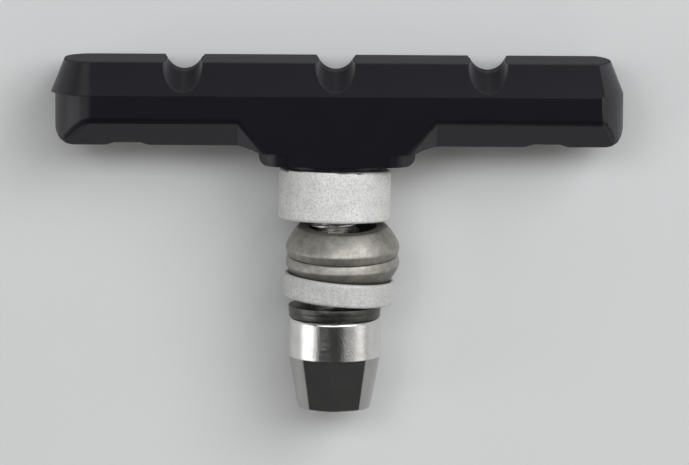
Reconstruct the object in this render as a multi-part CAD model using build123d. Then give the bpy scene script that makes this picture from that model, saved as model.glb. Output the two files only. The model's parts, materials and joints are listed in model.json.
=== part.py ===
from build123d import *
import math
import os

# Bicycle rim brake pad on a threaded stud, with its washers and nut.
# X runs along the pad, +Y is the outward normal of the braking face and +Z is up
# as the pad lies on its side. The origin is on the stud's axis, in the plane where
# the two domed washers meet, which is where the brake arm would be clamped.

# Rubber block
PAD_LENGTH = 70.3
PAD_WIDTH = 12.4
PAD_DEPTH = 10.3
PAD_OFFSET = 0.2
CREASE_DEPTH = 4.0
SIDE_TAPER = 22.0
CORNER_RADIUS = 5.2
END_BOW = 2.5
FLANK_DEPTH = 7.1
CHAMFER_INSET = 2.4
END_ROUND = 2.5

# Boss, web and washer land
WEB_LENGTH = 24.4
WEB_LEAN = 39.5
RAMP_START = 13.0
RAMP_RADIUS = 8.5
RAMP_ANGLE = 25.0
BOSS_LENGTH = 19.3
BOSS_CORNER = 4.0
BOSS_DEPTH = 12.7
BOSS_ROUND = 1.2
LAND_RADIUS = 6.1
LAND_HEIGHT = 0.5

# Water grooves in the braking face
GROOVE_SPACING = 18.65
GROOVE_DEPTH = 1.45
GROOVE_RUN = 3.8
GROOVE_ROUND = 2.35
GROOVE_EXIT_DEPTH = 3.5

# Shallow notches across the underside
NOTCH_SPACING = 25.65
NOTCH_WIDTH = 5.3
NOTCH_SLOPE = 1.1
NOTCH_DEPTH = 0.36

# Backing plate inside the rubber
PLATE_LENGTH = 60.0
PLATE_WIDTH = 8.4
PLATE_THICKNESS = 1.6
PLATE_DEPTH = 6.6
PLATE_CORNER = 3.0
KEY_WINDOW = 3.2
KEY_SPACING = 18.0

# Stud
STUD_RADIUS = 3.0
STUD_TIP_CHAMFER = 0.5
HEAD_RADIUS = 4.4
HEAD_THICKNESS = 1.8
STUD_END_GAP = 0.3

# Domed washers
DOME_HEIGHT = 3.6
DOME_SPHERE = 7.5
DOME_TOP_RADIUS = 5.5
DOME_RIM_HEIGHT = 1.06
DOME_RIM_INSET = 0.25
DOME_REST_GAP = 0.16
DOME_LEAN = 5.2
BORE_PLAY = 1.1

# Cup washers
CUP_RADIUS = 6.9
CUP_RIM_WIDTH = 0.47
SEAT_CONTACT = 5.6
SEAT_CLEARANCE = 0.1
THICK_CUP = 6.2
THICK_CUP_LEAN_SIDE = -0.9
THICK_CUP_LEAN_NEAR = -3.0
THIN_CUP = 2.9
THIN_CUP_LEAN = -4.8
CUP_GAP = 0.8
LAND_GAP = 0.05

# Flat washer
WASHER_RADIUS = 5.7
WASHER_PLAY = 0.2
WASHER_THICKNESS = 1.45
WASHER_SHEAR_BAND = 0.8
WASHER_BREAK = 0.06
WASHER_GAP = 0.1

# Nut
NUT_RADIUS = 5.7
NUT_LENGTH = 11.35
NUT_CYLINDER = 4.85
NUT_TAPER = 10.7
NUT_EDGE = 0.3
NUT_GAP = 0.03
THREAD_CLEARANCE = 0.05
SOCKET_FLATS = 5.0
SOCKET_DEPTH = 4.8
SOCKET_MOUTH = 0.35

# Sizes and levels that follow from the stack
SEAT_BORE = STUD_RADIUS + BORE_PLAY
DOME_OFFSET = BORE_PLAY - DOME_REST_GAP
DOME_CENTRE_DROP = math.sqrt(DOME_SPHERE**2 - DOME_TOP_RADIUS**2) - DOME_HEIGHT
DOME_RADIUS = math.sqrt(DOME_SPHERE**2 - (DOME_CENTRE_DROP + DOME_RIM_HEIGHT)**2)
CUP_RIM_RADIUS = CUP_RADIUS - CUP_RIM_WIDTH
SEAT_DROP = math.sqrt((DOME_SPHERE + SEAT_CLEARANCE)**2 - SEAT_CONTACT**2)
SEAT_SLOPE = SEAT_CONTACT / SEAT_DROP
CUP_RIM_DROP = SEAT_DROP - SEAT_SLOPE * (CUP_RIM_RADIUS - SEAT_CONTACT)
DOME_PLACE = Pos(DOME_OFFSET, 0, 0) * Rot(DOME_LEAN, 0, 0)
OUTER_SPHERE_CENTRE = (DOME_PLACE * Pos(0, DOME_CENTRE_DROP, 0)).position
THICK_CUP_TURN = Rot(THICK_CUP_LEAN_NEAR, 0, THICK_CUP_LEAN_SIDE)
THICK_CUP_RISE = CUP_RADIUS * math.sin(math.radians(math.hypot(THICK_CUP_LEAN_SIDE, THICK_CUP_LEAN_NEAR)))
THICK_CUP_BACK = DOME_HEIGHT + CUP_GAP + THICK_CUP
LAND_LEVEL = THICK_CUP_BACK + THICK_CUP_RISE + LAND_GAP
FACE_LEVEL = LAND_LEVEL + LAND_HEIGHT + BOSS_DEPTH
THIN_LEAN = math.radians(abs(THIN_CUP_LEAN))
THIN_CUP_REACH = (CUP_RIM_DROP + THIN_CUP) * math.cos(THIN_LEAN) + CUP_RADIUS * math.sin(THIN_LEAN)
WASHER_LEVEL = OUTER_SPHERE_CENTRE.Y - THIN_CUP_REACH - WASHER_GAP
NUT_LEVEL = WASHER_LEVEL - WASHER_THICKNESS - NUT_GAP
THREAD_DEPTH = NUT_LENGTH - SOCKET_DEPTH


def level(depth):
    """Y of a point that lies a given depth below the braking face."""
    return FACE_LEVEL - depth


def upright(sketch, base, height):
    """Extrude a plan sketch, drawn in X and Z, along +Y from a base level."""
    return extrude(Plane.XZ.offset(-base) * sketch, -height)


def turned(face):
    """Revolve a half section, drawn as radius and Y, about the stud's axis."""
    return revolve(face, Axis.Y)


def block_plan():
    """Plan outline of the block at its parting line: round corners at the -X end, a bowed end towards +X."""
    half = PAD_LENGTH / 2
    side = PAD_WIDTH / 2
    flank_end = half - END_BOW
    sides = Polyline((flank_end, side), (-half, side), (-half, -side), (flank_end, -side))
    bow = ThreePointArc((flank_end, -side), (half, 0), (flank_end, side))
    face = make_face([sides, bow])
    return fillet(face.vertices().sort_by(Axis.X)[:2], CORNER_RADIUS)


def upper_half():
    """Flared half of the block, from the parting line up to the braking face."""
    parting = Plane(origin=(0, level(CREASE_DEPTH), 0), x_dir=(1, 0, 0), z_dir=(0, 1, 0))
    return extrude(parting * block_plan(), CREASE_DEPTH, taper=SIDE_TAPER)


def lower_side_view():
    """Side outline of the lower half: arms with rounded ends and ramps that run down to the boss."""
    half = PAD_LENGTH / 2
    ramp_run = RAMP_RADIUS * math.sin(math.radians(RAMP_ANGLE))
    ramp_drop = RAMP_RADIUS * (1 - math.cos(math.radians(RAMP_ANGLE)))
    under = level(PAD_DEPTH)
    ramp_left = TangentArc((-RAMP_START, under), (ramp_run - RAMP_START, under - ramp_drop), tangent=(1, 0))
    ramp_right = mirror(ramp_left, Plane.YZ)
    outline = [
        Polyline((-RAMP_START, under), (-half, under), (-half, level(CREASE_DEPTH)),
                 (half, level(CREASE_DEPTH)), (half, under), (RAMP_START, under)),
        ramp_right,
        Line((RAMP_START - ramp_run, under - ramp_drop), (ramp_run - RAMP_START, under - ramp_drop)),
        ramp_left,
    ]
    face = make_face(outline)
    by_length = face.vertices().filter_by(lambda corner: corner.Y < level(CREASE_DEPTH)).sort_by(Axis.X)
    return fillet([by_length[0], by_length[-1]], END_ROUND)


def flank_chamfer():
    """Wedge that bevels one lower flank, ending on the slanted facet beside the boss."""
    flank = PAD_WIDTH / 2
    fall = PAD_DEPTH - FLANK_DEPTH
    slope = CHAMFER_INSET / fall
    reach = BOSS_DEPTH - FLANK_DEPTH
    section = Polyline((flank, level(FLANK_DEPTH)), (flank - slope * reach, level(BOSS_DEPTH)),
                       (PAD_WIDTH, level(BOSS_DEPTH)), (PAD_WIDTH, level(FLANK_DEPTH)), close=True)
    end_view = Plane(origin=(0, 0, 0), x_dir=(0, 0, 1), z_dir=(-1, 0, 0))
    prism = extrude(end_view * make_face(section), PAD_LENGTH)
    lean = math.radians(WEB_LEAN)
    along_chamfer = Vector(0, -fall, -CHAMFER_INSET)
    along_edge = Vector(math.sin(lean), -math.cos(lean), 0)
    facet = Plane(origin=(-WEB_LENGTH / 2, level(FLANK_DEPTH), flank),
                  z_dir=along_chamfer.cross(along_edge))
    return split(prism, bisect_by=facet, keep=Keep.TOP)


def lower_half():
    """Arms, web and boss of the block, below the parting line."""
    arms = extrude(lower_side_view(), PAD_WIDTH / 2, both=True)
    arms = arms & upright(block_plan(), level(BOSS_DEPTH), BOSS_DEPTH)
    near_left = flank_chamfer()
    near_right = mirror(near_left, Plane.YZ)
    for wedge in (near_left, near_right):
        arms = arms - wedge - mirror(wedge, Plane.XY)
    for side in (-1, 1):
        arms = arms - Pos(side * NOTCH_SPACING, 0, 0) * notch()
    return arms + boss()


def boss():
    """Boss round the stud: rounded corners in plan, and rounded ends in the side view."""
    half = BOSS_LENGTH / 2
    side_view = make_face(Polyline((-half, level(FLANK_DEPTH)), (-half, level(BOSS_DEPTH)),
                                   (half, level(BOSS_DEPTH)), (half, level(FLANK_DEPTH)), close=True))
    side_view = fillet(side_view.vertices().sort_by(Axis.Y)[:2], BOSS_ROUND)
    plan = RectangleRounded(BOSS_LENGTH, PAD_WIDTH, BOSS_CORNER)
    pillar = upright(plan, level(BOSS_DEPTH), BOSS_DEPTH - FLANK_DEPTH)
    return pillar & extrude(side_view, PAD_WIDTH, both=True)


def notch():
    """Shallow notch with sloped ends across the underside of an arm."""
    half = NOTCH_WIDTH / 2
    flat = half - NOTCH_SLOPE
    under = level(PAD_DEPTH)
    section = Polyline((-half, under), (-flat, under + NOTCH_DEPTH), (flat, under + NOTCH_DEPTH),
                       (half, under), close=True)
    return extrude(make_face(section), PAD_WIDTH, both=True)


def groove():
    """Water groove: a round channel, level across the middle and bent down towards each flank."""
    flank = PAD_WIDTH / 2 - (CREASE_DEPTH - GROOVE_EXIT_DEPTH) * math.tan(math.radians(SIDE_TAPER))
    fall = math.atan2(GROOVE_EXIT_DEPTH - GROOVE_DEPTH, flank - GROOVE_RUN / 2)
    axis_level = level(GROOVE_DEPTH) + GROOVE_ROUND
    bend = GROOVE_RUN / 2 + GROOVE_ROUND * math.tan(fall / 2)
    axis_end = axis_level - (PAD_WIDTH - bend) * math.tan(fall)
    route = Polyline((0, axis_end, -PAD_WIDTH), (0, axis_level, -bend), (0, axis_level, bend),
                     (0, axis_end, PAD_WIDTH))
    start = Plane(origin=route @ 0, z_dir=route % 0)
    return sweep(start * Circle(GROOVE_ROUND), path=route, transition=Transition.RIGHT)


def backing_plate():
    """Pressed plate with a hole for the stud and two windows that key the rubber."""
    plan = RectangleRounded(PLATE_LENGTH, PLATE_WIDTH, PLATE_CORNER) - Circle(STUD_RADIUS)
    for side in (-1, 1):
        plan = plan - Pos(side * KEY_SPACING, 0) * Rectangle(KEY_WINDOW, KEY_WINDOW)
    return upright(plan, level(PLATE_DEPTH + PLATE_THICKNESS), PLATE_THICKNESS)


def threaded_stud():
    """Stud with a flat head that bears on the plate from the rim side."""
    tip = NUT_LEVEL - THREAD_DEPTH + STUD_END_GAP
    under_head = level(PLATE_DEPTH)
    section = Polyline((0, tip), (STUD_RADIUS - STUD_TIP_CHAMFER, tip),
                       (STUD_RADIUS, tip + STUD_TIP_CHAMFER), (STUD_RADIUS, under_head),
                       (HEAD_RADIUS, under_head), (HEAD_RADIUS, under_head + HEAD_THICKNESS),
                       (0, under_head + HEAD_THICKNESS), close=True)
    return turned(make_face(section))


def rubber_block(plate, stud):
    """Moulded block with its grooves, formed round the plate and the stud."""
    land = upright(Circle(LAND_RADIUS), LAND_LEVEL, LAND_HEIGHT)
    block = Pos(PAD_OFFSET, 0, 0) * (upper_half() + lower_half()) + land
    for place in (-1, 0, 1):
        block = block - Pos(place * GROOVE_SPACING, 0, 0) * groove()
    return block - plate - stud


def dome_washer():
    """Domed washer with its flat side at Y = 0, a rim that flares out to the dome and the dome towards +Y."""
    sides = Polyline((DOME_TOP_RADIUS, DOME_HEIGHT), (SEAT_BORE, DOME_HEIGHT), (SEAT_BORE, 0),
                     (DOME_RADIUS - DOME_RIM_INSET, 0), (DOME_RADIUS, DOME_RIM_HEIGHT))
    middle = (DOME_RADIUS + DOME_TOP_RADIUS) / 2
    dome = ThreePointArc((DOME_RADIUS, DOME_RIM_HEIGHT),
                         (middle, math.sqrt(DOME_SPHERE**2 - middle**2) - DOME_CENTRE_DROP),
                         (DOME_TOP_RADIUS, DOME_HEIGHT))
    return turned(make_face([sides, dome]))


def cup_washer(thickness):
    """Cup washer with a conical seat for a dome whose centre is at Y = 0, and its hollow side towards +Y."""
    rim = -CUP_RIM_DROP
    back = rim - thickness
    bore_edge = -SEAT_DROP - SEAT_SLOPE * (SEAT_CONTACT - SEAT_BORE)
    section = Polyline((CUP_RIM_RADIUS, rim), (CUP_RADIUS, rim), (CUP_RADIUS, back),
                       (SEAT_BORE, back), (SEAT_BORE, bore_edge), close=True)
    return turned(make_face(section))


def thick_cup_washer():
    """Thick cup with its hollow side to the inner dome, leaning under the boss as photographed."""
    centred = Pos(0, CUP_RIM_DROP + THICK_CUP, 0) * cup_washer(THICK_CUP)
    return Pos(0, THICK_CUP_BACK, 0) * THICK_CUP_TURN * mirror(centred, Plane.XZ)


def thin_cup_washer():
    """Thin cup on the outer dome, tilted about the centre of the dome's sphere."""
    return Pos(OUTER_SPHERE_CENTRE) * Rot(0, 0, THIN_CUP_LEAN) * cup_washer(THIN_CUP)


def flat_washer():
    """Stamped washer: a smooth sheared band, and a slightly smaller broken band below it."""
    break_level = WASHER_THICKNESS - WASHER_SHEAR_BAND
    broken = WASHER_RADIUS - WASHER_BREAK
    bore = STUD_RADIUS + WASHER_PLAY
    section = Polyline((bore, 0), (broken, 0), (broken, break_level), (WASHER_RADIUS, break_level),
                       (WASHER_RADIUS, WASHER_THICKNESS), (bore, WASHER_THICKNESS), close=True)
    return Pos(0, WASHER_LEVEL - WASHER_THICKNESS, 0) * turned(make_face(section))


def socket_nut():
    """Round nut: cylinder, taper, threaded bore and a hex socket in the outer end."""
    end_radius = NUT_RADIUS - (NUT_LENGTH - NUT_CYLINDER) * math.tan(math.radians(NUT_TAPER))
    outside = Polyline((0, 0), (NUT_RADIUS - NUT_EDGE, 0), (NUT_RADIUS, -NUT_EDGE),
                       (NUT_RADIUS, -NUT_CYLINDER), (end_radius, -NUT_LENGTH), (0, -NUT_LENGTH), close=True)
    thread = upright(Circle(STUD_RADIUS + THREAD_CLEARANCE), -THREAD_DEPTH, THREAD_DEPTH)
    corner = SOCKET_FLATS / 2 / math.cos(math.pi / 6)
    mouth_face = make_face(Polyline((0, -NUT_LENGTH), (corner + SOCKET_MOUTH / 2, -NUT_LENGTH),
                                    (corner - SOCKET_MOUTH, SOCKET_MOUTH - NUT_LENGTH),
                                    (0, SOCKET_MOUTH - NUT_LENGTH), close=True))
    hexagon = RegularPolygon(corner, 6)
    socket = upright(hexagon, -NUT_LENGTH, SOCKET_DEPTH)
    nut = turned(make_face(outside)) - thread - socket - turned(mouth_face)
    return Pos(0, NUT_LEVEL, 0) * nut


plate = backing_plate()
stud = threaded_stud()
pieces = {
    "rubber_block": rubber_block(plate, stud),
    "backing_plate": plate,
    "threaded_stud": stud,
    "thick_cup_washer": thick_cup_washer(),
    "inner_dome_washer": DOME_PLACE * dome_washer(),
    "outer_dome_washer": DOME_PLACE * mirror(dome_washer(), Plane.XZ),
    "thin_cup_washer": thin_cup_washer(),
    "flat_washer": flat_washer(),
    "socket_nut": socket_nut(),
}

os.makedirs("parts", exist_ok=True)
for name, solid in pieces.items():
    export_step(solid, f"parts/{name}.step")
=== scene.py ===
import json
import math

import bmesh
import bpy
from mathutils import Matrix, Vector


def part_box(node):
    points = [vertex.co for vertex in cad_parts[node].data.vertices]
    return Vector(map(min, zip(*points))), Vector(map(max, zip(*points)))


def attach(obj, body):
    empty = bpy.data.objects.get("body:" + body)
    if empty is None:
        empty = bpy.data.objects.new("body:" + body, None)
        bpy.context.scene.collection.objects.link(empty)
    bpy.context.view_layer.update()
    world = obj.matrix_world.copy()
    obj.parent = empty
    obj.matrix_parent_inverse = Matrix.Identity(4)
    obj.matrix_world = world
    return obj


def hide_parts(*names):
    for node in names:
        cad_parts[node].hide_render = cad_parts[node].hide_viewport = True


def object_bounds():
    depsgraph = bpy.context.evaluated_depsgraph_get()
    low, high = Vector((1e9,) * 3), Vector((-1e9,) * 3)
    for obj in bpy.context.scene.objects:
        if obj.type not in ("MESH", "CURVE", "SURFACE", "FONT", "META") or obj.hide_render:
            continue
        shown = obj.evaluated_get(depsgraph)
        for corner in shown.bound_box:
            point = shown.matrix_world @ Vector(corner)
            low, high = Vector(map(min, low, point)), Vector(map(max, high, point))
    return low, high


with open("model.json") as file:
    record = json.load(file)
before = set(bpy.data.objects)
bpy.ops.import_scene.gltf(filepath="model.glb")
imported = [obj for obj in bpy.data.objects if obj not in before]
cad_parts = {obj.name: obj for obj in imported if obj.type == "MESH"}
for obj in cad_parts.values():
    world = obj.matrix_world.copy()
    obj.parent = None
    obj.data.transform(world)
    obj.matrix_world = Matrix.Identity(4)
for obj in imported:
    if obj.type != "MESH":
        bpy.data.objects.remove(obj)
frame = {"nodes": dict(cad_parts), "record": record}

bl_info = {
    "name": "Rim Brake Pad",
    "version": (1, 0, 0),
    "blender": (4, 5, 0),
    "location": "3D View > Sidebar > Brake Pad",
    "description": "Finishes a bicycle rim brake pad, its washers, stud and nut, and sets up its stage",
    "category": "Object",
}

# What the frame gives
CAD_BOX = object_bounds()
RECORD = frame["record"]
BODY_OF = {node: body for body, nodes in RECORD["behaviour"]["bodies"].items() for node in nodes}
MOUNT_PLACE = {mount["name"]: Vector(mount["pos_m"]) for mount in RECORD["mounts"]}
FACE_LEVEL = MOUNT_PLACE["braking_face"].y

# Mesh limits
MM = 0.001
WELD = 1e-7
FLAT_ANGLE = math.radians(0.3)
SHARP_ANGLE = math.radians(18)
HARD_ANGLE = math.radians(36)
HEAD_RIM_ANGLE = math.radians(60)
TURNED_LEAN = math.cos(math.radians(18))
WIDE_FACE = 20 * MM * MM
RIM_SHARE = 0.96
ROUND_STEPS = 3
HEAD_STEPS = 64
NORMAL_WEIGHT = 80

# Steel finishes: dark and light tones, roughness, size of the clouds, metallic share, and strength of the
# painted shade on the side that faces away from the pad
STEELS = {
    "Dome steel": ((0.3, 0.287, 0.256), (0.42, 0.402, 0.36), 0.5, 0.9 * MM, 0.8, 0.8),
    "Dark washer": ((0.08, 0.08, 0.074), (0.12, 0.12, 0.11), 0.34, 0.8 * MM, 1.0, 0.0),
    "Stud steel": ((0.6, 0.59, 0.57), (0.74, 0.73, 0.7), 0.3, 0.9 * MM, 1.0, 0.0),
    "Plate steel": ((0.38, 0.38, 0.39), (0.5, 0.5, 0.5), 0.4, 2.0 * MM, 1.0, 0.0),
}

# Dark and light tones of the nut
NUT_TAPER = ((0.385, 0.378, 0.37), (0.433, 0.425, 0.415))
NUT_CYLINDER = ((0.68, 0.67, 0.65), (0.76, 0.75, 0.73))

# Name and brightness of each cup washer's material
CUPS = {
    "thick_cup_washer": ("Bright sinter", 1.0),
    "thin_cup_washer": ("Dull sinter", 0.84),
}

# Lamps: bearing from +X and height in degrees, width and height in metres, radiance and colour
COOL = (0.98, 1.0, 1.03)
WARM = (1.0, 0.92, 0.82)
WHITE = (1.0, 1.0, 1.0)
LAMPS = {
    "Key": (37, 44, (0.62, 0.62), 4.5, COOL),
    "Far band": (92, 70, (0.8, 0.24), 5.0, COOL),
    "Far left": (150, 60, (0.4, 0.34), 3.4, COOL),
    "Near": (300, 24, (0.6, 0.34), 1.0, WARM),
    "Left": (187, 22, (0.42, 0.68), 1.65, WHITE),
    "Right": (352, 23, (0.42, 0.47), 0.95, WHITE),
    "Right top": (352, 50, (0.42, 0.5), 0.44, WHITE),
}
ROOM_GLOW = 0.07

# Floor and camera
FLOOR_HALF = 1.5
FLOOR_GAP = 0.05 * MM
PHOTO_WIDTH = 689
SENSOR_WIDTH = 36.0


# Settings

def length_setting(name, description, millimetres):
    """Setting for a length."""
    return bpy.props.FloatProperty(
        name=name, description=description, default=millimetres * MM, unit="LENGTH")


def share_setting(name, description, default):
    """Setting for a value between 0 and 1."""
    return bpy.props.FloatProperty(name=name, description=description, default=default, subtype="FACTOR")


def angle_setting(name, description, degrees):
    """Setting for an angle."""
    return bpy.props.FloatProperty(
        name=name, description=description, default=math.radians(degrees), subtype="ANGLE")


def colour_setting(name, description, default):
    """Setting for a colour."""
    return bpy.props.FloatVectorProperty(
        name=name, description=description, default=default, subtype="COLOR")


class RubberSettings(bpy.types.PropertyGroup):
    body_round: length_setting("Body Round", "Rounding of the block's outer edges", 0.4)
    groove_round: length_setting("Groove Round", "Rounding of the braking face and its grooves", 0.12)
    crease_depth: length_setting("Crease Depth", "Braking face to parting line", 4.0)
    flank_depth: length_setting("Flank Depth", "Braking face to the lower bevels", 7.1)
    arm_depth: length_setting("Arm Depth", "Braking face to the underside of the arms", 10.3)
    boss_depth: length_setting("Boss Depth", "Braking face to the rounded foot of the boss", 11.05)
    corner_radius: length_setting(
        "Corner Radius", "Round corners of the end where the mould halves don't meet", 5.2)
    mould_step: length_setting("Mould Step", "How far the upper half overhangs at that end", 0.5)
    lip_thickness: length_setting("Lip Thickness", "Thickness of the overhanging lip", 0.12)
    colour: colour_setting("Colour", "Black of the rubber", (0.0043, 0.0039, 0.0066))
    roughness: share_setting("Roughness", "Roughness of the moulded flanks", 0.23)
    end_roughness: share_setting("End Roughness", "Roughness of the block's ends", 0.42)
    face_roughness: share_setting("Face Roughness", "Roughness of the braking face", 0.85)


class MetalSettings(bpy.types.PropertyGroup):
    washer_round: length_setting("Washer Round", "Rounding of the washers' edges", 0.12)
    cup_round: length_setting("Cup Round", "Rounding of the cup washers' outer rims", 0.32)
    dome_round: length_setting("Dome Round", "Rounding of the domed washers' rims", 0.16)
    nut_round: length_setting("Nut Round", "Rounding of the nut's edges", 0.15)
    nut_cylinder: length_setting("Nut Cylinder", "Length of the nut above its taper", 4.85)
    sinter_light: colour_setting("Sinter Light", "Bright grains of the cup washers", (0.8, 0.79, 0.76))
    sinter_dark: colour_setting("Sinter Dark", "Pores of the cup washers", (0.5, 0.49, 0.465))
    grain_size: length_setting("Grain Size", "Grain of the cup washers", 0.15)


class ThreadSettings(bpy.types.PropertyGroup):
    radius: length_setting("Radius", "Outer radius of the thread", 3.0)
    pitch: length_setting("Pitch", "Rise of one turn", 1.0)
    depth: length_setting("Depth", "Depth of the thread", 0.61)
    chamfer: length_setting("Chamfer", "Chamfer of the stud's tip", 0.5)
    head_thickness: length_setting("Head Thickness", "Thickness of the stud's head", 1.8)
    steps: bpy.props.IntProperty(name="Steps", description="Faces round one turn", default=48)


class StageSettings(bpy.types.PropertyGroup):
    floor_colour: colour_setting("Floor Colour", "Pale grey of the floor", (0.685, 0.685, 0.675))
    distance: length_setting("Distance", "Camera to object", 650)
    tilt: angle_setting("Tilt", "Lean of the view towards the braking face", 8.5)
    roll: angle_setting("Roll", "Turn of the picture", 0.33)
    scale: bpy.props.FloatProperty(
        name="Scale", description="Picture points to one metre at the stud", default=8100.0)
    centre: bpy.props.FloatVectorProperty(
        name="Centre", description="Point in the middle of the picture", subtype="TRANSLATION",
        default=(1.17 * MM, 2.65 * MM, 0.0))


# Node building

def add_node(tree, kind, values=None, **settings):
    """New node with its settings, and its inputs set from values by name."""
    node = tree.nodes.new(kind)
    for name, value in settings.items():
        setattr(node, name, value)
    for name, value in (values or {}).items():
        node.inputs[name].default_value = value
    return node


def calculate(tree, operation, *values):
    """Result of a calculation with numbers and sockets."""
    node = add_node(tree, "ShaderNodeMath", operation=operation)
    for socket, value in zip(node.inputs, values):
        if isinstance(value, bpy.types.NodeSocket):
            tree.links.new(value, socket)
        else:
            socket.default_value = value
    return node.outputs[0]


def split_axes(tree, vector):
    """The X, Y and Z sockets of a vector."""
    node = add_node(tree, "ShaderNodeSeparateXYZ")
    tree.links.new(vector, node.inputs["Vector"])
    return node.outputs


def map_range(tree, value, low, high, from_low=0.0, from_high=1.0):
    """Value stretched between two limits."""
    node = add_node(tree, "ShaderNodeMapRange",
                    {"From Min": from_low, "From Max": from_high, "To Min": low, "To Max": high})
    tree.links.new(value, node.inputs["Value"])
    return node.outputs["Result"]


def mix_colours(tree, factor, first, second):
    """Mix of two colours or colour sockets by a mask."""
    mix = add_node(tree, "ShaderNodeMix", data_type="RGBA")
    tree.links.new(factor, mix.inputs["Factor"])
    colour_sockets = [socket for socket in mix.inputs if socket.type == "RGBA"]
    for socket, colour in zip(colour_sockets, (first, second)):
        if isinstance(colour, bpy.types.NodeSocket):
            tree.links.new(colour, socket)
        else:
            socket.default_value = (*colour, 1.0)
    return next(socket for socket in mix.outputs if socket.type == "RGBA")


def scaled(colour, share):
    """Colour made darker or lighter."""
    return [share * part for part in colour]


def add_bump(tree, height, shader, distance, strength=1.0):
    """Bump on a shader's normal from a height that varies over the surface."""
    bump = add_node(tree, "ShaderNodeBump", {"Strength": strength, "Distance": distance})
    tree.links.new(height, bump.inputs["Height"])
    tree.links.new(bump.outputs["Normal"], shader.inputs["Normal"])
    return bump


def new_group(name, inputs, outputs):
    """Shader node group with float inputs and outputs, and its two end nodes."""
    tree = bpy.data.node_groups.new(name, "ShaderNodeTree")
    tree.interface.new_socket("Vector", in_out="INPUT", socket_type="NodeSocketVector")
    for label, default in inputs.items():
        socket = tree.interface.new_socket(label, in_out="INPUT", socket_type="NodeSocketFloat")
        socket.default_value = default
    for label in outputs:
        tree.interface.new_socket(label, in_out="OUTPUT", socket_type="NodeSocketFloat")
    return tree, tree.nodes.new("NodeGroupInput"), tree.nodes.new("NodeGroupOutput")


def grain_group():
    """Soft cloudy grain: a mask between two limits and its height."""
    inputs = {"Size": 1.0 * MM, "Low": 0.35, "High": 0.65}
    tree, start, end = new_group("Soft grain", inputs, ["Mask", "Height"])
    noise = add_node(tree, "ShaderNodeTexNoise", {"Detail": 4.0, "Roughness": 0.6})
    limits = add_node(tree, "ShaderNodeMapRange", interpolation_type="SMOOTHSTEP")
    tree.links.new(start.outputs["Vector"], noise.inputs["Vector"])
    tree.links.new(calculate(tree, "DIVIDE", 1.0, start.outputs["Size"]), noise.inputs["Scale"])
    tree.links.new(noise.outputs["Fac"], limits.inputs["Value"])
    tree.links.new(start.outputs["Low"], limits.inputs["From Min"])
    tree.links.new(start.outputs["High"], limits.inputs["From Max"])
    tree.links.new(limits.outputs["Result"], end.inputs["Mask"])
    tree.links.new(noise.outputs["Fac"], end.inputs["Height"])
    return tree


def speckle_group():
    """Pressed metal grains: a random brightness for each grain and the grains' height."""
    tree, start, end = new_group("Speckle", {"Size": 0.2 * MM}, ["Mask", "Height"])
    cells = add_node(tree, "ShaderNodeTexVoronoi", feature="SMOOTH_F1")
    cells.inputs["Smoothness"].default_value = 0.35
    tone = add_node(tree, "ShaderNodeSeparateColor")
    tree.links.new(start.outputs["Vector"], cells.inputs["Vector"])
    tree.links.new(calculate(tree, "DIVIDE", 1.0, start.outputs["Size"]), cells.inputs["Scale"])
    tree.links.new(cells.outputs["Color"], tone.inputs["Color"])
    tree.links.new(tone.outputs["Red"], end.inputs["Mask"])
    tree.links.new(cells.outputs["Distance"], end.inputs["Height"])
    return tree


def node_groups():
    """The shared groups, made once."""
    made = bpy.data.node_groups
    return {
        "grain": made.get("Soft grain") or grain_group(),
        "speckle": made.get("Speckle") or speckle_group(),
    }


def use_group(tree, group, coordinates, **values):
    """Place a node group in a material, on object coordinates, with its own values."""
    node = add_node(tree, "ShaderNodeGroup", node_tree=group)
    tree.links.new(coordinates.outputs["Object"], node.inputs["Vector"])
    for name, value in values.items():
        node.inputs[name].default_value = value
    return node


# Materials

def new_material(name, values):
    """Material with a Principled shader, its constant values and its coordinates."""
    material = bpy.data.materials.new(name)
    material.use_nodes = True
    tree = material.node_tree
    tree.nodes.clear()
    shader = add_node(tree, "ShaderNodeBsdfPrincipled", values)
    output = add_node(tree, "ShaderNodeOutputMaterial")
    tree.links.new(shader.outputs["BSDF"], output.inputs["Surface"])
    return material, tree, shader, add_node(tree, "ShaderNodeTexCoord")


def moulded_rubber(groups, settings):
    """Satin black rubber: smooth flanks, duller ends, braking face and boss, and a faint bloom."""
    material, tree, shader, place = new_material("Moulded rubber", {"IOR": 1.53})
    bloom = use_group(tree, groups["grain"], place, Size=6 * MM, Low=0.3, High=0.75)
    skin = use_group(tree, groups["grain"], place, Size=0.25 * MM)
    black = mix_colours(tree, bloom.outputs["Mask"], settings.colour, scaled(settings.colour, 1.25))
    tree.links.new(black, shader.inputs["Base Color"])

    # Roughness by the way the surface looks
    facing = split_axes(tree, place.outputs["Normal"])
    sideways = calculate(tree, "ABSOLUTE", facing["X"])
    face = map_range(tree, facing["Y"], settings.roughness, settings.face_roughness, 0.42, 0.8)
    ends = map_range(tree, sideways, 0.0, settings.end_roughness - settings.roughness, 0.0, 0.25)
    tree.links.new(calculate(tree, "ADD", face, ends), shader.inputs["Roughness"])

    # Dull round corners at the foot of the boss
    foot = FACE_LEVEL - settings.boss_depth
    level = split_axes(tree, place.outputs["Object"])["Y"]
    below = map_range(tree, level, 1.0, 0.0, foot - 0.1 * MM, foot + 0.1 * MM)
    turn_start = map_range(tree, sideways, 0.0, 1.0, 0.0, 0.1)
    turn_end = map_range(tree, sideways, 1.0, 0.0, 0.4, 0.65)
    dull = calculate(tree, "MULTIPLY", below, calculate(tree, "MULTIPLY", turn_start, turn_end))
    tree.links.new(map_range(tree, dull, 0.5, 0.12), shader.inputs["Specular IOR Level"])
    add_bump(tree, skin.outputs["Height"], shader, distance=0.01 * MM, strength=0.5)
    return material


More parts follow.
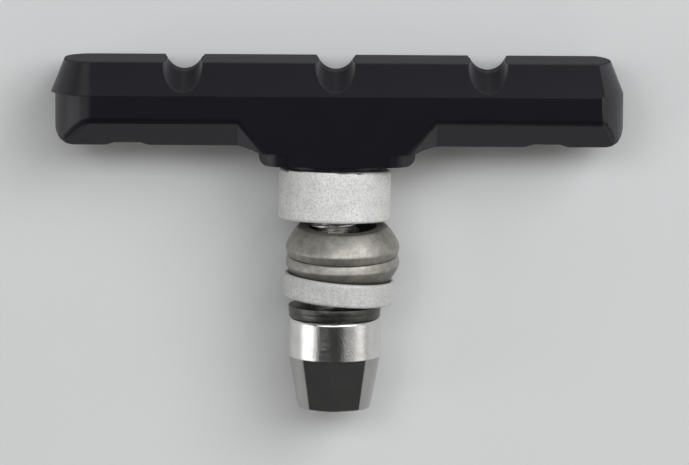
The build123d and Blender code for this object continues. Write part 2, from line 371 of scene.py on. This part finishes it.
def sintered_steel(groups, settings, name, brightness):
    """Pressed steel grains, bright and porous."""
    material, tree, shader, place = new_material(name, {"Metallic": 0.3})
    grains = use_group(tree, groups["speckle"], place, Size=settings.grain_size)
    patches = use_group(tree, groups["grain"], place, Size=2.5 * MM, Low=0.3, High=0.7)
    pores = use_group(tree, groups["grain"], place, Size=0.3 * MM, Low=0.36, High=0.5)
    light = scaled(settings.sinter_light, brightness)
    dark = scaled(settings.sinter_dark, brightness)
    ground = mix_colours(tree, patches.outputs["Mask"], scaled(light, 0.86), light)
    bright = map_range(tree, grains.outputs["Mask"], 0.35, 1.0, 0.0, 0.5)
    closed = map_range(tree, pores.outputs["Mask"], 0.6, 1.0)
    tones = mix_colours(tree, calculate(tree, "MULTIPLY", bright, closed), dark, ground)
    tree.links.new(tones, shader.inputs["Base Color"])
    tree.links.new(map_range(tree, grains.outputs["Mask"], 0.75, 0.45), shader.inputs["Roughness"])
    add_bump(tree, grains.outputs["Height"], shader, distance=0.05 * MM, strength=0.6)
    return material


def satin_steel(groups, name):
    """Smooth worn steel with cloudy tones, and painted shade on the side that looks away from the pad."""
    dark, light, rough, cloud_size, shine, painted_shade = STEELS[name]
    material, tree, shader, place = new_material(name, {"Metallic": shine})
    clouds = use_group(tree, groups["grain"], place, Size=cloud_size, Low=0.3, High=0.7)
    skin = use_group(tree, groups["grain"], place, Size=0.2 * MM)
    unshaded = mix_colours(tree, clouds.outputs["Mask"], dark, light)
    # Painted shade: the side that faces away from the pad, towards -Y, is darkened towards a fifth of the
    # dark tone.
    facing = split_axes(tree, place.outputs["Normal"])
    shade_mask = map_range(tree, facing["Y"], painted_shade, 0.0, -0.7, -0.1)
    tree.links.new(mix_colours(tree, shade_mask, unshaded, scaled(dark, 0.2)), shader.inputs["Base Color"])
    uneven = map_range(tree, skin.outputs["Mask"], rough - 0.06, rough + 0.06)
    tree.links.new(uneven, shader.inputs["Roughness"])
    add_bump(tree, skin.outputs["Height"], shader, distance=0.02 * MM, strength=0.3)
    return material


def polished_nut(groups, border):
    """Mirror polish, finely pitted above the border and smoother and darker on the taper below it."""
    material, tree, shader, place = new_material("Polished nut", {})
    pits = use_group(tree, groups["grain"], place, Size=0.22 * MM)
    haze = use_group(tree, groups["grain"], place, Size=1.6 * MM, Low=0.3, High=0.7)
    level = split_axes(tree, place.outputs["Object"])["Y"]
    upper = map_range(tree, level, 0.0, 1.0, border - 0.05 * MM, border + 0.05 * MM)
    taper = mix_colours(tree, haze.outputs["Mask"], *NUT_TAPER)
    cylinder = mix_colours(tree, haze.outputs["Mask"], *NUT_CYLINDER)
    tree.links.new(mix_colours(tree, upper, taper, cylinder), shader.inputs["Base Color"])
    tree.links.new(map_range(tree, upper, 0.96, 1.0), shader.inputs["Metallic"])
    tree.links.new(map_range(tree, upper, 0.09, 0.06), shader.inputs["Roughness"])
    bump = add_bump(tree, pits.outputs["Height"], shader, distance=0.032 * MM)
    tree.links.new(map_range(tree, upper, 0.03, 1.0), bump.inputs["Strength"])
    return material


def pale_floor(groups, settings):
    """Matt pale grey surface."""
    material, tree, shader, place = new_material(
        "Pale floor", {"Roughness": 0.9, "Specular IOR Level": 0.1})
    clouds = use_group(tree, groups["grain"], place, Size=60 * MM, Low=0.2, High=0.8)
    pale = settings.floor_colour
    tones = mix_colours(tree, clouds.outputs["Mask"], scaled(pale, 0.98), pale)
    tree.links.new(tones, shader.inputs["Base Color"])
    return material


# Shapes

def middle(edge):
    """Middle point of an edge."""
    return (edge.verts[0].co + edge.verts[1].co) / 2


def merged_copy(node):
    """Copy of a CAD node's mesh, joined up and with its flat faces made whole."""
    shape = bmesh.new()
    shape.from_mesh(frame["nodes"][node].data)
    bmesh.ops.remove_doubles(shape, verts=shape.verts, dist=WELD)
    bmesh.ops.dissolve_limit(shape, angle_limit=FLAT_ANGLE, verts=shape.verts, edges=shape.edges)
    return shape


def outer_edges(shape):
    """Edges that stick out and are sharp."""
    return [edge for edge in shape.edges
            if edge.is_manifold and edge.is_convex and edge.calc_face_angle() > SHARP_ANGLE]


def softened_copy(node, width):
    """Copy of a CAD node's mesh with its outer edges rounded over."""
    shape = merged_copy(node)
    bmesh.ops.bevel(shape, geom=outer_edges(shape), offset=width, offset_type="OFFSET",
                    segments=ROUND_STEPS, profile=0.5, affect="EDGES", clamp_overlap=False, material=-1)
    return shape


def softened_ring(node, rim_width, width):
    """Copy of a washer, its outer rims weighted for a wide rounding and its other edges for a narrow one."""
    shape = merged_copy(node)
    low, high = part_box(node)
    axis = (low + high) / 2
    reach = (high.z - low.z) / 2
    weight = shape.edges.layers.float.new("bevel_weight_edge")
    for edge in outer_edges(shape):
        away = middle(edge) - axis
        on_rim = math.hypot(away.x, away.z) > RIM_SHARE * reach
        edge[weight] = 1.0 if on_rim else width / rim_width
    return shape


def main_edges(shape, core):
    """Sharp outer edges that border a main face of the block, one that looks away from its core."""
    main_faces = {face for face in shape.faces
                  if face.calc_area() > WIDE_FACE and face.normal.dot(face.calc_center_median() - core) > 0}
    return [edge for edge in outer_edges(shape) if not main_faces.isdisjoint(edge.link_faces)]


def step_mould_halves(shape, parting, corner, settings):
    """Pull the lower half in at its round end, so that the upper half overhangs it as a thin lip."""
    end = [face for face in shape.faces if face.calc_center_median().x < corner]
    rings = {edge for face in end for edge in face.edges}
    points = {vert for face in end for vert in face.verts}
    lip = parting - settings.lip_thickness
    bmesh.ops.bisect_plane(shape, geom=[*points, *rings, *end], plane_co=(0, lip, 0), plane_no=(0, 1, 0))
    cut = [vert for vert in shape.verts if abs(vert.co.y - lip) < WELD]
    bmesh.ops.remove_doubles(shape, verts=cut, dist=settings.lip_thickness / 2)
    for vert in shape.verts:
        if vert.co.y < lip + WELD and vert.co.x < corner:
            vert.co.x += settings.mould_step * min(1.0, (corner - vert.co.x) / settings.corner_radius * 2)


def softened_block(settings):
    """Copy of the rubber block, its edges weighted for a fine rounding above and a softer one below."""
    shape = merged_copy("rubber_block")
    plate_low, plate_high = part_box("backing_plate")
    parting = FACE_LEVEL - settings.crease_depth
    underside = FACE_LEVEL - settings.arm_depth
    flank_end = FACE_LEVEL - settings.flank_depth
    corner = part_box("rubber_block")[0].x + settings.corner_radius
    weight = shape.edges.layers.float.new("bevel_weight_edge")
    for edge in main_edges(shape, (plate_low + plate_high) / 2):
        place = middle(edge)
        on_face = place.y > FACE_LEVEL - WELD
        if on_face or (place.y > parting + WELD and corner - WELD < place.x < plate_high.x):
            edge[weight] = settings.groove_round / settings.body_round
        elif parting - WELD > place.y > underside + settings.body_round:
            if place.x > corner - WELD or place.y < flank_end + WELD:
                edge[weight] = 1.0
    step_mould_halves(shape, parting, corner, settings)
    return shape


def thread_shape(settings, tip, top):
    """Helical thread from the tip to the top level, about the Y axis, with a chamfered tip."""
    outer = settings.radius
    root = outer - settings.depth
    pitch = settings.pitch
    crest = pitch / 8
    floor = pitch / 4
    flank = (pitch - crest - floor) / 2
    valley = crest + flank
    section = [(outer, 0.0), (outer, crest), (root, valley), (root, valley + floor), (outer, pitch)]
    turns = math.ceil((top - tip) / pitch) + 2
    shape = bmesh.new()
    rail = [shape.verts.new((radius, tip - pitch + rise, 0.0)) for radius, rise in section]
    for before, after in zip(rail, rail[1:]):
        shape.edges.new((before, after))
    bmesh.ops.spin(shape, geom=shape.verts[:] + shape.edges[:], cent=(0, 0, 0), axis=(0, 1, 0),
                   dvec=(0, pitch / settings.steps, 0), angle=turns * math.tau, steps=turns * settings.steps)
    bmesh.ops.remove_doubles(shape, verts=shape.verts, dist=pitch / 1000)
    for level, side in ((tip, -1), (top, 1)):
        bmesh.ops.bisect_plane(shape, geom=shape.verts[:] + shape.edges[:] + shape.faces[:],
                               plane_co=(0, level, 0), plane_no=(0, side, 0), clear_outer=True)
    bmesh.ops.holes_fill(shape, edges=[edge for edge in shape.edges if edge.is_boundary], sides=0)
    for vert in shape.verts:
        limit = outer - settings.chamfer + vert.co.y - tip
        radius = math.hypot(vert.co.x, vert.co.z)
        if radius > limit:
            vert.co.x *= limit / radius
            vert.co.z *= limit / radius
    bmesh.ops.recalc_face_normals(shape, faces=shape.faces)
    return shape


def add_head(shape, radius, low, thickness, edge_round):
    """Round head of the stud, with a softened rim."""
    stand = Matrix.Translation((0, low + thickness / 2, 0)) @ Matrix.Rotation(math.pi / 2, 4, "X")
    made = bmesh.ops.create_cone(shape, cap_ends=True, segments=HEAD_STEPS, radius1=radius, radius2=radius,
                                 depth=thickness, matrix=stand)
    points = set(made["verts"])
    rim = [edge for edge in shape.edges
           if points.issuperset(edge.verts) and edge.calc_face_angle(0.0) > HEAD_RIM_ANGLE]
    bmesh.ops.bevel(shape, geom=rim, offset=edge_round, segments=ROUND_STEPS, profile=0.5, affect="EDGES",
                    material=-1)


def square_turned_walls(mesh):
    """Set the normals of a turned piece's outer walls square to its axis, so that they mirror evenly."""
    normals = [corner.vector.copy() for corner in mesh.corner_normals]
    for face in mesh.polygons:
        away = Vector((face.center.x, 0, face.center.z)).normalized()
        if face.normal.dot(away) < TURNED_LEAN:
            continue
        lean = face.normal.y
        for corner in face.loop_indices:
            place = mesh.vertices[mesh.loops[corner].vertex_index].co
            away = Vector((place.x, 0, place.z)).normalized()
            normals[corner] = away * math.sqrt(1 - lean * lean) + Vector((0, lean, 0))
    mesh.normals_split_custom_set(normals)


def add_piece(name, shape, material, node, rounding=0.0, hard=HARD_ANGLE, turned=False):
    """Object for a finished mesh, in place of a CAD node and on its body, its weighted edges rounded."""
    mesh = bpy.data.meshes.new(name)
    for face in shape.faces:
        face.smooth = True
    for edge in shape.edges:
        edge.smooth = edge.calc_face_angle(0.0) < hard
    shape.to_mesh(mesh)
    shape.free()
    piece = bpy.data.objects.new(name, mesh)
    bpy.context.scene.collection.objects.link(piece)
    mesh.materials.append(material)
    if rounding:
        bevel = piece.modifiers.new("Rounded edges", "BEVEL")
        bevel.limit_method = "WEIGHT"
        bevel.width = rounding
        bevel.segments = ROUND_STEPS
        bevel.use_clamp_overlap = False
    if turned:
        square_turned_walls(mesh)
    else:
        shading = piece.modifiers.new("Even shading", "WEIGHTED_NORMAL")
        shading.weight = NORMAL_WEIGHT
        shading.keep_sharp = True
    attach(piece, BODY_OF[node])
    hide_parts(node)
    return piece


# Stage

def lay_floor(settings):
    """Wide flat floor just below the pad."""
    shape = bmesh.new()
    bmesh.ops.create_grid(shape, x_segments=1, y_segments=1, size=FLOOR_HALF)
    bmesh.ops.translate(shape, verts=shape.verts, vec=(0, 0, CAD_BOX[0].z - FLOOR_GAP))
    mesh = bpy.data.meshes.new("floor")
    shape.to_mesh(mesh)
    shape.free()
    mesh.materials.append(pale_floor(node_groups(), settings))
    floor = bpy.data.objects.new("floor", mesh)
    bpy.context.scene.collection.objects.link(floor)


def dim_room():
    """World that is dark overhead and pale near the horizon, with a dark gap that the nut mirrors."""
    world = bpy.data.worlds.new("Dim room")
    world.use_nodes = True
    tree = world.node_tree
    tree.nodes.clear()
    place = add_node(tree, "ShaderNodeTexCoord")
    axes = split_axes(tree, place.outputs["Generated"])
    horizon = map_range(tree, axes["Z"], 0.7, 0.0, 0.12, 0.4)
    near = map_range(tree, axes["Y"], 0.9, 0.0, -0.8, -0.55)
    far = map_range(tree, axes["Y"], 0.0, 1.0, -0.3, -0.1)
    glow = calculate(tree, "MULTIPLY_ADD", horizon, calculate(tree, "ADD", near, far), ROOM_GLOW)
    back = add_node(tree, "ShaderNodeBackground")
    output = add_node(tree, "ShaderNodeOutputWorld")
    tree.links.new(glow, back.inputs["Strength"])
    tree.links.new(back.outputs["Background"], output.inputs["Surface"])
    bpy.context.scene.world = world


def softbox(name, bearing, height, size, radiance, colour):
    """Rectangular lamp one metre from the object, which the camera doesn't see."""
    lamp = bpy.data.lights.new(name, "AREA")
    lamp.shape = "RECTANGLE"
    lamp.size, lamp.size_y = size
    lamp.energy = radiance * math.pi * size[0] * size[1]
    lamp.color = colour
    holder = bpy.data.objects.new(name, lamp)
    turn = math.radians(bearing)
    rise = math.radians(height)
    place = Vector((math.cos(rise) * math.cos(turn), math.cos(rise) * math.sin(turn), math.sin(rise)))
    holder.location = place
    holder.rotation_mode = "QUATERNION"
    holder.rotation_quaternion = (-place).to_track_quat("-Z", "Y")
    holder.visible_camera = False
    bpy.context.scene.collection.objects.link(holder)


def aim_camera(settings):
    """Camera above the pad, leaning towards its braking face."""
    camera = bpy.data.cameras.new("Camera")
    camera.sensor_width = SENSOR_WIDTH
    camera.lens = settings.scale * settings.distance * SENSOR_WIDTH / PHOTO_WIDTH
    holder = bpy.data.objects.new("Camera", camera)
    towards = Vector((0, math.sin(settings.tilt), math.cos(settings.tilt)))
    holder.location = Vector(settings.centre) + settings.distance * towards
    side = Matrix.Rotation(settings.roll, 3, towards) @ Vector((1, 0, 0))
    up = towards.cross(side)
    holder.rotation_euler = Matrix((side, up, towards)).transposed().to_euler()
    bpy.context.scene.collection.objects.link(holder)
    bpy.context.scene.camera = holder


# Operators

class BRAKEPAD_OT_rubber_block(bpy.types.Operator):
    """Round the moulded edges of the rubber block and give it its satin black"""
    bl_idname = "brakepad.rubber_block"
    bl_label = "Rubber Block"

    def execute(self, context):
        settings = context.scene.brakepad_rubber
        shape = softened_block(settings)
        finish = moulded_rubber(node_groups(), settings)
        add_piece("moulded_block", shape, finish, "rubber_block", settings.body_round, SHARP_ANGLE)
        return {"FINISHED"}


class BRAKEPAD_OT_cup_washers(bpy.types.Operator):
    """Finish the two sintered cup washers"""
    bl_idname = "brakepad.cup_washers"
    bl_label = "Cup Washers"

    def execute(self, context):
        settings = context.scene.brakepad_metal
        for node, (name, brightness) in CUPS.items():
            shape = softened_ring(node, settings.cup_round, settings.washer_round)
            finish = sintered_steel(node_groups(), settings, name, brightness)
            add_piece(node.replace("_washer", "_ring"), shape, finish, node, settings.cup_round)
        return {"FINISHED"}


class BRAKEPAD_OT_dome_washers(bpy.types.Operator):
    """Finish the two domed washers"""
    bl_idname = "brakepad.dome_washers"
    bl_label = "Dome Washers"

    def execute(self, context):
        settings = context.scene.brakepad_metal
        finish = satin_steel(node_groups(), "Dome steel")
        for node in ("inner_dome_washer", "outer_dome_washer"):
            shape = softened_copy(node, settings.dome_round)
            add_piece(node.replace("_washer", "_ring"), shape, finish, node)
        return {"FINISHED"}


class BRAKEPAD_OT_flat_washer(bpy.types.Operator):
    """Finish the dark stamped washer"""
    bl_idname = "brakepad.flat_washer"
    bl_label = "Flat Washer"

    def execute(self, context):
        settings = context.scene.brakepad_metal
        shape = softened_copy("flat_washer", settings.washer_round / 2)
        finish = satin_steel(node_groups(), "Dark washer")
        add_piece("stamped_ring", shape, finish, "flat_washer")
        return {"FINISHED"}


class BRAKEPAD_OT_nut(bpy.types.Operator):
    """Polish the tapered nut"""
    bl_idname = "brakepad.nut"
    bl_label = "Nut"

    def execute(self, context):
        settings = context.scene.brakepad_metal
        shape = softened_copy("socket_nut", settings.nut_round)
        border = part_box("socket_nut")[1].y - settings.nut_cylinder
        finish = polished_nut(node_groups(), border)
        add_piece("tapered_nut", shape, finish, "socket_nut", turned=True)
        return {"FINISHED"}


class BRAKEPAD_OT_stud(bpy.types.Operator):
    """Cut the thread of the stud and finish the plate that holds its head"""
    bl_idname = "brakepad.stud"
    bl_label = "Stud and Plate"

    def execute(self, context):
        settings = context.scene.brakepad_thread
        low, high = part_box("threaded_stud")
        under_head = high.y - settings.head_thickness
        shape = thread_shape(settings, low.y, under_head)
        add_head(shape, high.x, under_head, settings.head_thickness, settings.chamfer / 2)
        add_piece("thread_stud", shape, satin_steel(node_groups(), "Stud steel"), "threaded_stud")
        plate = satin_steel(node_groups(), "Plate steel")
        for place in frame["nodes"]["backing_plate"].material_slots:
            place.material = plate
        return {"FINISHED"}


class BRAKEPAD_OT_stage(bpy.types.Operator):
    """Lay the floor, light it and set up the camera"""
    bl_idname = "brakepad.stage"
    bl_label = "Stage"

    def execute(self, context):
        settings = context.scene.brakepad_stage
        lay_floor(settings)
        dim_room()
        for name, lamp in LAMPS.items():
            softbox(name, *lamp)
        aim_camera(settings)
        context.scene.view_settings.view_transform = "Standard"
        return {"FINISHED"}


class BRAKEPAD_PT_panel(bpy.types.Panel):
    """Lists the steps and their settings"""
    bl_idname = "BRAKEPAD_PT_panel"
    bl_label = "Brake Pad"
    bl_space_type = "VIEW_3D"
    bl_region_type = "UI"
    bl_category = "Brake Pad"

    def draw(self, context):
        for operator in OPERATORS:
            self.layout.operator(operator.bl_idname)
        for name, group in SETTINGS.items():
            box = self.layout.box()
            for label in group.__annotations__:
                box.prop(getattr(context.scene, name), label)


SETTINGS = {
    "brakepad_rubber": RubberSettings,
    "brakepad_metal": MetalSettings,
    "brakepad_thread": ThreadSettings,
    "brakepad_stage": StageSettings,
}
OPERATORS = (
    BRAKEPAD_OT_rubber_block,
    BRAKEPAD_OT_cup_washers,
    BRAKEPAD_OT_dome_washers,
    BRAKEPAD_OT_flat_washer,
    BRAKEPAD_OT_nut,
    BRAKEPAD_OT_stud,
    BRAKEPAD_OT_stage,
)


def register():
    for group in SETTINGS.values():
        bpy.utils.register_class(group)
    for name, group in SETTINGS.items():
        setattr(bpy.types.Scene, name, bpy.props.PointerProperty(type=group))
    for operator in OPERATORS:
        bpy.utils.register_class(operator)
    bpy.utils.register_class(BRAKEPAD_PT_panel)


def unregister():
    bpy.utils.unregister_class(BRAKEPAD_PT_panel)
    for operator in reversed(OPERATORS):
        bpy.utils.unregister_class(operator)
    for name, group in SETTINGS.items():
        delattr(bpy.types.Scene, name)
        bpy.utils.unregister_class(group)


def main():
    register()
    bpy.ops.brakepad.rubber_block()
    bpy.ops.brakepad.cup_washers()
    bpy.ops.brakepad.dome_washers()
    bpy.ops.brakepad.flat_washer()
    bpy.ops.brakepad.nut()
    bpy.ops.brakepad.stud()
    bpy.ops.brakepad.stage()


if __name__ == "__main__":
    main()
